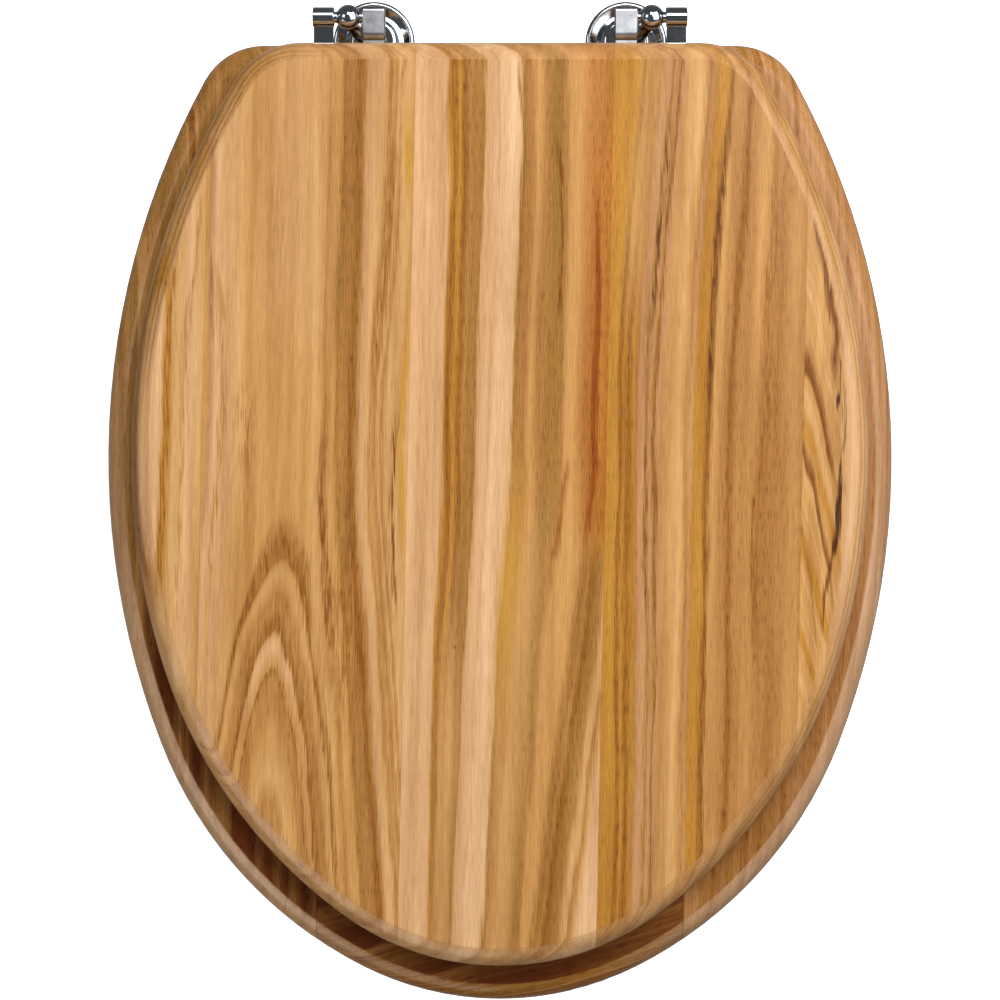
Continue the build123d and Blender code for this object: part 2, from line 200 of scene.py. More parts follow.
def threaded_stud(columns=40):
    """Stud turned about its axis: radius by height, less a thread of depth times a wave.

    The wave is a triangle of height over pitch less the share of a turn, flattened at crest and root, and it
    runs out at both ends of the threaded length.
    """
    (spigot, top), (shank, shoulder), (thread, start), (tip, end) = stud_profile.values()
    threaded = np.linspace(start - thread_lead, end + end_chamfer, thread_rows)
    height = np.r_[top, top, shoulder, shoulder, start, start, threaded, end, end]
    radius = np.r_[0, spigot, spigot, shank, shank, thread, np.full(thread_rows, thread), tip, 0]
    turn = np.arange(columns) / columns
    wave = np.abs((height[:, None] / thread_pitch - turn) % 1 * 2 - 1)
    cut = np.clip(1.5 * wave - 0.25, 0, 1) * thread_depth
    inside = np.minimum(start - height, height - end - runout_gap)
    runout = np.clip(inside / runout_length, 0, 1)[:, None]
    return turned(radius[:, None] - cut * runout, height, columns)


def skin(name, grids, body, finish, crease=40):
    """Mesh over grids of points in millimetres, shape (rows, columns, 3).

    Neighbouring rows and columns are joined by quads, the last column joins the first, and a row that is all
    one point becomes a pole. Edges sharper than crease degrees stay sharp.
    """
    points, faces, start = [], [], 0
    for grid in grids:
        rows, columns = grid.shape[:2]
        row, column = np.meshgrid(np.arange(rows - 1), np.arange(columns), indexing="ij")
        here = start + row * columns + column
        beside = start + row * columns + (column + 1) % columns
        faces.append(np.stack([here, beside, beside + columns, here + columns], axis=-1).reshape(-1, 4))
        points.append(grid.reshape(-1, 3) / 1000)
        start += rows * columns
    mesh = bpy.data.meshes.new(name)
    mesh.from_pydata(np.concatenate(points).tolist(), [], np.concatenate(faces).tolist())
    work = bmesh.new()
    work.from_mesh(mesh)
    bmesh.ops.remove_doubles(work, verts=work.verts, dist=1e-7)
    bmesh.ops.recalc_face_normals(work, faces=work.faces)
    work.to_mesh(mesh)
    work.free()
    mesh.shade_smooth()
    mesh.set_sharp_from_angle(angle=radians(crease))
    mesh.materials.append(finish.material)
    piece = bpy.data.objects.new(name, mesh)
    bpy.context.scene.collection.objects.link(piece)
    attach(piece, body)
    return piece


zinc = Finish("zinc_plate")
plating = zinc.noise(zinc.place, (3.0, 3.0, 5.0), detail=4.0)
scuffs = zinc.noise(zinc.place, (0.5, 0.5, 0.08), detail=2.0)
zinc.set("Base Color", zinc.stripes(plating, [(0.3, tone(150, 150, 146)), (0.7, tone(196, 194, 184))]))
zinc.set("Metallic", 1.0)
zinc.set("Roughness", zinc.sum(0.24, (0.18, plating), (0.08, scuffs)))
zinc.bump(scuffs, 0.00002)
for side, sign in sides.items():
    stud_grid = threaded_stud() + [sign * stud_x, 0, 0]
    stud = skin(f"threaded_stud_{side}", [stud_grid], "base", zinc, crease=50)
    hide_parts(f"mounting_stud_{side}")

# Wing nuts and plate washers: injection-moulded off-white plastic, screwed up by hand under the pan. The
# plastic lets a little light in, which softens its edges.
moulded = Finish("moulded_plastic")
cloud = moulded.noise(moulded.place, (9.0, 9.0, 9.0), detail=3.0)
spark = moulded.noise(moulded.place, (0.35, 0.35, 0.35), detail=2.0)
moulded.set("Base Color", moulded.stripes(cloud, [(0.3, tone(214, 210, 198)), (0.7, tone(232, 229, 220))]))
moulded.set("Roughness", moulded.sum(0.34, (0.16, spark)))
moulded.set("Subsurface Weight", 0.12)
moulded.set("Subsurface Radius", (0.004, 0.003, 0.002))
moulded.bump(spark, 0.00003)


def coat(finish, names):
    """Gives CAD nodes their finish."""
    for name in names:
        nodes[name].data.materials[0] = finish.material


coat(moulded, [f"{piece}_{side}" for piece in ("wing_nut", "plate_washer") for side in sides])

# Cone washers, gaskets and buffers: black rubber mouldings with a fine matt skin. The cone centres the stud
# in the pan's hole, the gasket lies between the hinge base and the pan, and the buffers carry ring and lid.
rubber = Finish("black_rubber")
bloom = rubber.noise(rubber.place, (6.0, 6.0, 6.0), detail=4.0)
skin_grain = rubber.noise(rubber.place, (0.25, 0.25, 0.25), detail=2.0)
rubber.set("Base Color", rubber.stripes(bloom, [(0.3, tone(30, 30, 31)), (0.75, tone(54, 53, 52))]))
rubber.set("Roughness", rubber.sum(0.52, (0.2, bloom)))
rubber.bump(skin_grain, 0.00004)
buffer_ends = [f"{end}_{side}" for end in ("front", "rear") for side in sides]
coat(rubber, [f"{piece}_{side}" for piece in ("cone_washer", "base_gasket") for side in sides])
coat(rubber, [f"{piece}_buffer_{end}" for piece in ("ring", "lid") for end in buffer_ends])

# Hinge bases, pins and leaves: zinc castings and steel pins, polished and chrome plated, the lid's leaves
# with a satin finish. The two knuckles turn on the ends of the pin.
chrome = Finish("chrome_plate")
haze = chrome.noise(chrome.place, (7.0, 7.0, 7.0), detail=4.0)
polish = chrome.noise(chrome.place, (2.0, 0.25, 2.0), detail=3.0)
chrome.set("Base Color", chrome.stripes(haze, [(0.35, tone(200, 206, 213)), (0.65, tone(216, 220, 226))]))
chrome.set("Metallic", 1.0)
chrome.set("Roughness", chrome.sum(0.0, (0.06, haze), (0.04, polish)))
chrome.bump(polish, 0.000004)
satin = Finish("satin_chrome")
dull = satin.noise(satin.place, (5.0, 5.0, 5.0), detail=4.0)
brush = satin.noise(satin.place, (6.0, 0.2, 0.2), detail=2.0)
satin.set("Base Color", satin.stripes(dull, [(0.35, tone(176, 178, 182)), (0.65, tone(198, 200, 203))]))
satin.set("Metallic", 1.0)
satin.set("Roughness", satin.sum(0.2, (0.1, dull), (0.1, brush)))
satin.bump(brush, 0.00001)
coat(chrome, [f"{piece}_{side}" for piece in ("base_disc", "hinge_pin", "ring_leaf") for side in sides])
coat(satin, [f"lid_leaf_{side}" for side in sides])

# Hinge posts: zinc castings, chrome plated like the bases. A hub sits on the stud, a neck swings out from it
# to the pin's line, and a ball with a slim collar against each knuckle carries the pin.
ball_place = (71.0, 8.0, 32.5)
ball_radius = 5.9
ball_rows = 49
collar_radius = 2.7
collar_reach = 6.25
hub_radius = 11.6
hub_height = 6.1
hub_round = 2.6
hub_round_rows = 12
neck_shares = (0.382, 0.838, 1.0)
neck_radii = (5.2, 3.8, 3.3)
neck_rows = 30


def ball_post(sign, hub_under):
    """Hub, neck and ball of one hinge post.

    The hub is a disc with a quarter round at its top edge. The neck is level circles whose middle and radius
    follow the quadratic through three levels. The ball is the larger of a sphere and a collar, turned about
    the pin.
    """
    ball_x, ball_y, ball_z = ball_place
    hub_top = hub_under + hub_height
    bend = np.linspace(0, np.pi / 2, hub_round_rows)
    radius = np.r_[0, hub_radius, hub_radius - hub_round * (1 - np.cos(bend)), 0]
    height = np.r_[hub_under, hub_under, hub_top - hub_round * (1 - np.sin(bend)), hub_top]
    hub = turned(radius, height) + [sign * stud_x, 0, 0]

    levels = (hub_top - hub_round / 2, (hub_top + ball_z - ball_radius) / 2, ball_z - ball_radius / 2)
    height = np.linspace(levels[0], levels[2], neck_rows)
    radius = np.pad(np.polyval(np.polyfit(levels, neck_radii, 2), height), 1)
    share = np.pad(np.polyval(np.polyfit(levels, neck_shares, 2), height), 1, "edge")
    middle = np.stack([sign * (stud_x + share * (ball_x - stud_x)), share * ball_y, 0 * share], axis=-1)
    neck = turned(radius, np.pad(height, 1, "edge")) + middle[:, None, :]

    along = ball_radius * np.sin(np.linspace(-np.pi / 2, np.pi / 2, ball_rows))
    along = np.r_[-collar_reach, -collar_reach, along, collar_reach, collar_reach]
    radius = np.sqrt(np.maximum(ball_radius**2 - along**2, collar_radius**2))
    radius[[0, -1]] = 0
    ball = turned(radius, along)[..., [2, 0, 1]] + [sign * ball_x, ball_y, ball_z]
    return [hub, neck, ball]


for side, sign in sides.items():
    hub_under = 1000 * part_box(f"hinge_post_{side}")[0][2]
    post = skin(f"ball_post_{side}", ball_post(sign, hub_under), "base", chrome)
    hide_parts(f"hinge_post_{side}")

# Seat ring: hardwood boards glued edge to edge and cut to an oval, with side rails whose grain runs front to
# back and cross rails between them, sanded and lacquered. The wood's tones run from sapwood to dark lines.
ring_face = 30.0
rail_half = 86.0
rail_slant = 0.3
joint_blur = 0.1
cream = tone(232, 185, 137)
peach = tone(224, 174, 124)
shell = tone(214, 163, 112)
sheen_grey = tone(212, 176, 144)
straw = tone(216, 165, 104)
honey = tone(206, 151, 86)
rosy = tone(198, 144, 95)
amber = tone(208, 152, 62)
gold = tone(194, 135, 54)
tan = tone(184, 128, 68)
russet = tone(184, 110, 42)
olive = tone(166, 119, 52)
umber = tone(156, 98, 36)
brick = tone(148, 68, 18)
chestnut = tone(132, 74, 20)
cocoa = tone(102, 55, 12)
mahogany = tone(102, 42, 8)
bark = tone(72, 32, 6)


def lacquered(wood, colour, across, along, deep):
    """Fibre, pores and a satin lacquer over a board's own colour.

    across, along and deep are distances in millimetres against the grain. Streaks and fibres are noise
    stretched along the grain, warmer where they are dark. Pores are the peaks of a shorter one, and there are
    more in dark wood.
    """
    point = wood.node("CombineXYZ", {0: across, 1: along, 2: deep})
    streak = wood.noise(point, (6.0, 150.0, 6.0), detail=4.0, roughness=0.64)
    fibre = wood.noise(point, (0.4, 10.0, 0.4), detail=0.0)
    pore = wood.noise(point, (0.4, 6.0, 0.4), detail=0.0)
    light = wood.sum(0.22, (1.16, streak), (0.4, fibre))
    green = wood.node("SeparateColor", {0: colour}, out=1)
    warmth = {0: wood.sum(0.25, (0.75, light)), 1: light, 2: wood.sum(-0.3, (1.3, light))}
    tint = wood.node("CombineXYZ", warmth)
    colour = wood.node("VectorMath", {0: colour, 1: tint}, operation="MULTIPLY")
    dashes = wood.product(wood.ease(pore, 0.5, 0.75), wood.ease(green, 0.34, 0.1, 0.05, 0.5))
    colour = wood.blend(dashes, colour, chestnut, "MULTIPLY")
    wood.set("Base Color", colour)
    wood.set("Roughness", wood.sum(0.36, (0.12, fibre)))
    wood.set("Specular IOR Level", 0.05)
    wood.set("Coat Weight", 0.7)
    wood.set("Coat Roughness", 0.18)
    wood.bump(fibre, 0.00003, 0.5)


ring_wood = Finish("ring_wood")
x, y, z = ring_wood.axes()
sideways = ring_wood.math("ABSOLUTE", x)
rail = ring_wood.ease(sideways, rail_half + joint_blur, rail_half - joint_blur)
wander = ring_wood.noise(ring_wood.place, (60.0, 160.0, 60.0), detail=1.0)
wisp = ring_wood.noise(ring_wood.place, (1.2, 30.0, 1.2), detail=1.0)
slanted = ring_wood.sum(y, (-rail_slant, x), (0.4, z), (12.0, wander))
upright = ring_wood.sum(x, (-0.02, y), (-0.35, z), (5.0, wander), (2.0, wisp))
across = ring_wood.sum(upright, (1.0, ring_wood.product(rail, ring_wood.sum(slanted, (-1.0, upright)))))
along = ring_wood.sum(y, (1.0, ring_wood.product(rail, ring_wood.sum(x, (-1.0, y)))))
figure = ring_wood.bands(across, 8.0, detail=2.0, roughness=0.6)
# The left side takes a darker, more olive palette than the rosy right: partly the wood's own tone, partly
# painted shade for the weaker light on the left
left_colour = ring_wood.stripes(
    figure,
    [
        (0.24, umber), (0.36, olive), (0.44, tan), (0.5, olive), (0.57, tan), (0.66, honey), (0.78, umber),
    ],
)
right_colour = ring_wood.stripes(
    figure,
    [
        (0.24, umber), (0.34, tan), (0.43, rosy), (0.5, tan), (0.57, rosy), (0.64, tan), (0.78, olive),
    ],
)
rail_colour = ring_wood.stripes(
    figure,
    [
        (0.25, chestnut), (0.38, umber), (0.45, olive), (0.52, umber), (0.6, tan), (0.68, umber),
        (0.8, cocoa),
    ],
)
ring_colour = ring_wood.blend(ring_wood.ease(x, -1.0, 1.0), left_colour, right_colour)
ring_colour = ring_wood.blend(rail, ring_colour, rail_colour)

# The rounded edge is painted paler towards the front on the flanks, a painted sheen. The top face is painted
# darker towards the front as painted shade of the lid: umber on the right side board, and mahogany on the
# front board, partly its own dark heartwood
rounded = ring_wood.ease(z, ring_face - 0.04, ring_face - 0.4)
face = ring_wood.ease(z, ring_face - 0.4, ring_face - 0.04)
front_half = ring_wood.ease(y, -90.0, -300.0)
flanks = ring_wood.ease(sideways, 30.0, 120.0)
# Painted sheen: the rounded edge washed pale grey towards the front on the flanks
ring_colour = ring_wood.wash(ring_colour, sheen_grey, rounded, front_half, flanks, 0.5)
# Painted shade of the lid: the right side board's top face washed umber towards the front
right_rail = ring_wood.ease(x, 80.0, 95.0)
ring_colour = ring_wood.wash(ring_colour, umber, face, right_rail, front_half, 0.5)
# Painted shade of the lid together with dark heartwood: the front board's top face washed mahogany towards
# the front, more on the left
ring_colour = ring_wood.wash(
    ring_colour, mahogany, face,
    ring_wood.ease(x, rail_half + joint_blur, rail_half - joint_blur),
    ring_wood.ease(x, 10.0, 80.0, 1.0, 0.7),
    ring_wood.ease(y, -235.0, -300.0, 0.0, 0.95),
    ring_wood.ease(ring_wood.bands(across, 14.0, detail=1.0), 0.42, 0.62, 1.0, 0.4),
)
ring_colour = ring_wood.wash(ring_colour, bark, ring_wood.near(sideways, rail_half, 0.3), 0.6)
lacquered(ring_wood, ring_colour, across, along, z)
coat(ring_wood, ["seat_ring"])

# Ring and lid screws: small steel wood screws with cross recesses, countersunk in the leaves and round-headed
# in the buffers. The ring's leaf screws point down and all the others point up.
screw_point = 2.5
leaf_seat = 32.5
leaf_screw_head = 3.4
leaf_screw_shank = 1.75
leaf_screw_length = 13.0
leaf_screw_places = ((-5.5, -16.5), (5.5, -16.5), (0.0, -38.5))
buffer_screw_head = 3.8
buffer_screw_rise = 1.6
buffer_screw_shank = 1.9
head_rows = 22
recess_arm = 1.9
recess_half = 0.5
recess_depth = 1.2
recess_wall = 0.15
recess_end = 0.3

# A leaf's middle and the way its screws point, and a buffer's places, its screws' seat and their length
leaves = {"ring": (82.6, -1), "lid": (59.0, 1)}
buffers = {
    "ring": (((106.0, -346.5), (146.0, -121.5)), 6.0, 17.0),
    "lid": (((78.0, -373.5), (128.0, -69.5)), 32.8, 13.2),
}


def cross_screw(place, point, head, rise, length, shank):
    """Screw turned about its axis, with a cross sunk in its head. point is 1 for up and -1 for down.

    Height above the seat follows a shallow dome over the head's radius. The recess takes depth times the
    larger of two bars, each one inside its half width and arm, shallower towards the arm's end.
    """
    dome = np.linspace(0, 1, head_rows)
    radius = np.r_[dome * head, shank, shank, 0]
    under = 0.0 if rise else head - shank
    height = np.r_[rise * (1 - dome**2), -under, screw_point - length, -length]
    screw = turned(radius, height, columns=48)
    across, beside = np.abs(screw[:head_rows, :, 0]), np.abs(screw[:head_rows, :, 1])
    bars = [
        np.clip((recess_half - one) / recess_wall + 0.5, 0, 1)
        * np.clip((recess_arm - other) / recess_end, 0, 1)
        for one, other in ((across, beside), (beside, across))
    ]
    shallow = 1 - 0.6 * np.clip(dome * head / recess_arm, 0, 1)[:, None]
    screw[:head_rows, :, 2] -= np.maximum(*bars) * shallow * recess_depth
    return screw * [1, -point, -point] + place


for side, sign in sides.items():
    for body, (middle, point) in leaves.items():
        screws = [
            cross_screw(
                (sign * middle + a, b, leaf_seat), point,
                leaf_screw_head, 0.0, leaf_screw_length, leaf_screw_shank,
            )
            for a, b in leaf_screw_places
        ]
        piece = skin(f"{body}_leaf_cross_screws_{side}", screws, body, zinc)
        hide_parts(f"{body}_leaf_screws_{side}")
for body, (spots, seat, length) in buffers.items():
    screws = [
        cross_screw((sign * a, b, seat), 1, buffer_screw_head, buffer_screw_rise, length, buffer_screw_shank)
        for a, b in spots
        for sign in sides.values()
    ]
    piece = skin(f"{body}_buffer_cross_screws", screws, body, zinc)
    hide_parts(f"{body}_buffer_screws")

# Lid: five boards of the same hardwood glued edge to edge, each with its own figure, cut to a smaller oval
# with a rounded edge, sanded and lacquered like the ring.
lid_face = 52.0
lid_middle = -218.0
board_lean = 0.0205
joints = (-138.5, -43.2, 48.7, 139.5)
lid_wood = Finish("lid_wood")
x, y, z = lid_wood.axes()
depth = lid_wood.math("SUBTRACT", z, lid_face)
forward = lid_wood.math("SUBTRACT", y, lid_middle)
plain = lid_wood.sum(x, (-board_lean, forward))
drift = lid_wood.sum(-0.5, (1.0, lid_wood.noise(lid_wood.place, (40.0, 120.0, 40.0), detail=1.0)))
ripple = lid_wood.sum(-0.5, (1.0, lid_wood.noise(lid_wood.place, (6.0, 80.0, 6.0), detail=1.0)))
feather = lid_wood.sum(-0.5, (1.0, lid_wood.noise(lid_wood.place, (1.0, 36.0, 1.0), detail=1.0)))
fuzz = lid_wood.sum(-0.5, (1.0, lid_wood.noise(lid_wood.place, (0.45, 13.0, 0.45), detail=0.0)))
broken = lid_wood.noise(lid_wood.place, (0.9, 15.0, 0.9), detail=1.0, roughness=0.7)
dashed = [lid_wood.ease(broken, 0.36, 0.62, 0.1, 1.0)]
veined = lid_wood.sum(plain, (7.0, drift), (3.0, ripple), (2.2, feather), (2.0, fuzz), (-1.7, depth))


def glued(left, right, joint):
    """The left board up to a joint, and the right board beyond it."""
    return lid_wood.blend(lid_wood.ease(plain, joint - joint_blur, joint + joint_blur), left, right)


def beyond(value, edge, way):
    """How far value is past edge, upwards where way is 1 and downwards where it is -1, and 0 before it."""
    return lid_wood.math("MAXIMUM", lid_wood.sum(-way * edge, (way, value)), 0.0)


# Board at the far left: gold and straw, with two brown growth lines that bend in towards the back
board = lid_wood.stripes(
    veined,
    [
        (-170, rosy), (-164, peach), (-158.6, peach), (-157, gold), (-155.6, gold), (-153, straw),
        (-149, straw), (-146, peach), (-142, straw), (-138, honey),
    ],
)
board = lid_wood.mark(
    board, veined, forward,
    [
        (-60, -155.4), (-28, -156), (0, -155.8), (23, -155.6), (46, -156.3), (72, -155.5), (97, -153.5),
        (135, -151),
    ],
    (3.0, 1.2), umber, 0.85, dashed,
)
board = lid_wood.mark(
    board, veined, forward,
    [
        (-80, -148.5), (-9, -149), (32, -148.6), (65, -148.5), (88, -147), (111, -143.5), (129, -142),
        (165, -140),
    ],
    (1.6, 2.0), tan, 0.8, dashed,
)

# Second board: flat sawn, with growth rings that arch towards the front and spread on both sides of them
flame_middle = -99.0
flame_front = -27.7
spreading = lid_wood.product(
    lid_wood.ease(veined, -126.0, -74.0, -0.05, 0.072), beyond(forward, 20.0, -1.0)
)
leaning = lid_wood.product(
    lid_wood.ease(veined, -66.0, -54.0, 0.0, 0.05), beyond(forward, 60.0, 1.0)
)
second = lid_wood.stripes(
    lid_wood.sum(veined, (-1.0, spreading), (-1.0, leaning)),
    [
        (-138.5, honey), (-136.8, rosy), (-133, peach), (-130.4, straw), (-128, shell), (-122, straw),
        (-117, honey), (-97, honey), (-90, honey), (-86.6, straw), (-84, honey), (-82.4, tan),
        (-80.4, honey), (-77.8, honey), (-75.8, olive), (-73.6, tan), (-70.8, tan), (-68.3, umber),
        (-66.4, tan), (-64.2, shell), (-61.6, straw), (-59.8, tan), (-58.8, honey), (-57.2, tan),
        (-55.6, straw), (-54.6, tan), (-53, straw), (-49, straw), (-46.6, honey), (-44.6, amber),
        (-43.2, straw),
    ],
)
shift = lid_wood.ease(forward, flame_front, flame_front - 45, 0.0, 4.5)
aside = lid_wood.sum(-flame_middle, (1.0, veined), (1.0, shift))
aside_square = lid_wood.math("MULTIPLY", aside, aside)
crest = lid_wood.sum(
    flame_front, (-1.0, forward), (-10.0, ripple), (-7.0, feather), (-5.0, fuzz), (-0.15, aside_square)
)
arch = lid_wood.math("DIVIDE", crest, lid_wood.sum(1.0, (0.002, aside_square)))
arches = lid_wood.stripes(
    arch,
    [
        (-26, honey), (-16, tan), (-9, umber), (-2, umber), (-0.8, umber), (1.8, honey), (6, straw),
        (11, honey), (17, tan), (24, tan), (31, umber), (35.2, umber), (37, honey), (44, honey), (50, honey),
        (52.5, umber), (56, tan), (68, tan), (80, honey), (98, straw), (110, tan),
    ],
)
arches = lid_wood.wash(arches, honey, lid_wood.ease(broken, 0.4, 0.65, 0.4, 0.0))
tip = lid_wood.ease(forward, -120.0, -72.0, 0.1, 0.9)
arches = lid_wood.wash(arches, peach, lid_wood.near(arch, 42.0, 8.0), tip)
crown = lid_wood.ease(aside_square, 330.0, 60.0, -9.0, -26.0)
second = lid_wood.blend(lid_wood.ease(lid_wood.math("SUBTRACT", arch, crown), 0.0, 8.0), second, arches)
brown = lid_wood.product(lid_wood.near(veined, -70.0, 15.0), lid_wood.near(forward, -64.0, 70.0))
second = lid_wood.wash(second, umber, brown, lid_wood.ease(broken, 0.4, 0.6), 0.8)
for path, reach, shade, share in (
    ([(69, -136.5), (92, -135.3), (111, -136), (130, -138)], (2.0, 1.4), umber, 0.6),
    (
        [(-65, -134), (-28, -132.5), (9, -131), (46, -129), (69, -130), (92, -131), (120, -133.5)],
        (3.6, 1.0), tan, 0.9,
    ),
    ([(-70, -77), (-37, -78.2), (-18, -79.6), (9, -82.2), (40, -82.4)], (2.8, 2.4), chestnut, 0.8),
    ([(-88, -61.4), (-60, -64), (-28, -66.5), (9, -68.6)], (2.6, 2.0), chestnut, 0.7),
    ([(46, -58.2), (83, -57.6), (125, -55), (170, -52.4)], (2.2, 1.8), umber, 0.8),
    ([(60, -68.2), (120, -68.6), (165, -70), (195, -69)], (3.2, 3.2), olive, 0.8),
    ([(-60, -46.6), (-28, -47.2), (-9, -48), (14, -47.4), (46, -46.8)], (2.2, 1.2), chestnut, 1.0),
):
    second = lid_wood.mark(second, veined, forward, path, reach, shade, share, dashed)
flecks = lid_wood.ease(broken, 0.44, 0.64)
for place, width, middle, reach, share in ((-104.0, 9.0, 134.0, 22.0, 0.8), (-119.0, 8.0, 34.0, 40.0, 0.7)):
    knots = lid_wood.product(lid_wood.near(veined, place, width), lid_wood.near(forward, middle, reach))
    second = lid_wood.wash(second, umber, knots, flecks, share)
second = lid_wood.wash(
    second, shell, lid_wood.near(veined, -98.0, 26.0), lid_wood.ease(forward, 40.0, 110.0), 0.55
)
second = lid_wood.wash(
    second, amber, lid_wood.near(veined, -44.4, 3.6), lid_wood.near(forward, 158.0, 36.0)
)
board = glued(board, second, joints[0])

# Middle board: rift sawn and strongly striped, fanning to the left at the front. On its right a red streak
# runs to the back, and in front of it slanting growth lines cross the stripes
fan = lid_wood.product(lid_wood.sum(0.055, (0.0012, plain)), beyond(forward, 9.0, -1.0))
fanned = lid_wood.sum(veined, (1.0, fan))
third = lid_wood.stripes(
    fanned,
    [
        (-44, peach), (-39, peach), (-38.2, shell), (-37, peach), (-34.6, shell), (-32.4, peach),
        (-28, peach), (-26.6, gold), (-24.6, umber), (-22.4, gold), (-20.4, umber), (-18.4, tan),
        (-16.6, olive), (-14.6, tan), (-12.8, olive), (-11.4, shell), (-9, peach), (-6.6, peach),
        (-5.8, shell), (-4.6, cream), (2.6, cream), (5, peach), (6.4, olive), (8.4, tan), (11, tan),
        (14, honey), (17.6, tan), (23, olive), (27.6, tan), (29.4, honey), (38, honey), (50, gold),
    ],
)
third = lid_wood.mark(
    third, veined, forward,
    [
        (-192, 11), (-166, 12.5), (-139, 14.8), (-120, 16.5), (-92, 18.5), (-69, 20.5), (-40, 21.6), (0, 21),
        (28, 24.5), (69, 27.3), (92, 26.8), (139, 25), (176, 21.5), (210, 19),
    ],
    (2.6, 1.2), olive, 0.9,
)
third = lid_wood.mark(
    third, veined, forward,
    [(80, 26.6), (102, 26.2), (125, 25.4), (140, 24.8), (170, 22.4)],
    (1.8, 1.0), chestnut, 1.0, dashed,
)
third = lid_wood.mark(
    third, veined, forward,
    [(110, 7), (140, 6.4), (165, 6.6), (185, 5), (210, 3.6)],
    (1.6, 0.7), olive, 0.8,
)
third = lid_wood.wash(
    third, straw, lid_wood.near(fanned, -19.0, 10.0), lid_wood.ease(forward, 20.0, -150.0, 0.0, 0.75)
)
third = lid_wood.wash(
    third, straw, lid_wood.near(fanned, 16.0, 16.0), lid_wood.ease(forward, 30.0, -50.0, 0.0, 0.5)
)
third = lid_wood.wash(
    third, amber, lid_wood.near(fanned, 8.5, 9.0), lid_wood.near(forward, -40.0, 95.0), 0.75
)
pin_knot = lid_wood.product(lid_wood.near(plain, -19.5, 1.1), lid_wood.near(forward, -68.0, 1.5))
third = lid_wood.wash(third, chestnut, pin_knot, 0.8)
behind = lid_wood.ease(
    lid_wood.sum(forward, (-0.28, veined), (40.0, feather), (24.0, fuzz)), -44.0, -20.0
)
glow = lid_wood.ease(forward, 215.0, 130.0, 0.6, 0.85)
third = lid_wood.wash(third, russet, lid_wood.ease(veined, 30.0, 42.0), behind, glow)
third = lid_wood.mark(
    third, veined, forward,
    [(-26, 36), (-20, 39), (-5, 41.4), (18, 43.4), (46, 43), (92, 43.2), (150, 41)],
    (2.6, 1.4), brick, 0.85,
)
third = lid_wood.mark(
    third, veined, forward,
    [(-29, 25), (-12, 26.6), (4, 28.2), (20, 30.4)],
    (0.8, 2.4), umber, 0.8,
)
slanting = lid_wood.sum(veined, (-0.1, forward))
crossed = lid_wood.stripes(
    slanting,
    [
        (34, honey), (38, honey), (40, tan), (42, olive), (44, tan), (45.6, umber), (48, olive), (51, tan),
        (53.4, straw), (54.8, straw), (56, tan), (57.6, honey), (59.6, peach), (67.6, cream),
    ],
)
front = lid_wood.ease(lid_wood.sum(forward, (30.0, feather)), -8.0, -40.0)
third = lid_wood.wash(third, crossed, front, lid_wood.ease(slanting, 31.0, 38.0))
board = glued(board, third, joints[1])

# Fourth board: gold, rose and brown stripes, leaning more towards the back
bow = lid_wood.math(
    "POWER", lid_wood.math("MAXIMUM", lid_wood.sum(-0.41, (1 / 135.0, forward)), 0.0), 1.5
)
bowed = lid_wood.sum(veined, (-6.0, bow))
fourth = lid_wood.stripes(
    bowed,
    [
        (48.7, gold), (50.6, gold), (53.4, gold), (55, umber), (57, gold), (59.4, umber), (61.4, gold),
        (63.4, tan), (64.8, rosy), (67.4, rosy), (68.6, olive), (70, rosy), (71.4, tan), (72.4, umber),
        (73.6, rosy), (77, honey), (82, straw), (84, honey), (85.8, tan), (87.4, rosy), (89, gold),
        (93, gold), (95.8, umber), (98, honey), (104.4, tan), (106.4, umber), (108.6, tan), (116, honey),
        (119.6, tan), (126, tan), (134, honey), (139.5, tan),
    ],
)
fourth = lid_wood.wash(
    fourth, straw, lid_wood.near(bowed, 59.0, 9.0), lid_wood.ease(forward, 60.0, 140.0), 0.6
)
fourth = lid_wood.wash(
    fourth, umber, lid_wood.near(bowed, 122.0, 24.0), lid_wood.near(forward, -10.0, 130.0), 0.42
)
for path, reach, shade, share in (
    ([(75, 69.6), (97, 70.6), (120, 71.6), (143, 73), (180, 75)], (1.3, 1.3), cocoa, 1.0),
    ([(30, 95.6), (69, 96), (102, 97), (125, 98.6), (153, 100.4), (185, 101.6)], (2.4, 1.8), cocoa, 0.9),
    ([(-60, 68.4), (-9, 68.3), (30, 68.6)], (1.4, 1.4), chestnut, 0.8),
    ([(-140, 95.2), (-100, 95.6), (-60, 95.4), (-10, 95.6)], (1.8, 1.8), chestnut, 0.6),
    (
        [(-90, 117), (-46, 117.2), (-9, 117), (14, 119), (46, 121.4), (79, 120.2), (130, 122.6), (160, 122)],
        (0.5, 5.0), umber, 0.85,
    ),
    ([(60, 107.4), (100, 108.6), (140, 110.6), (185, 111.6)], (2.0, 1.8), umber, 0.7),
):
    fourth = lid_wood.mark(fourth, veined, forward, path, reach, shade, share, dashed)
board = glued(board, fourth, joints[2])

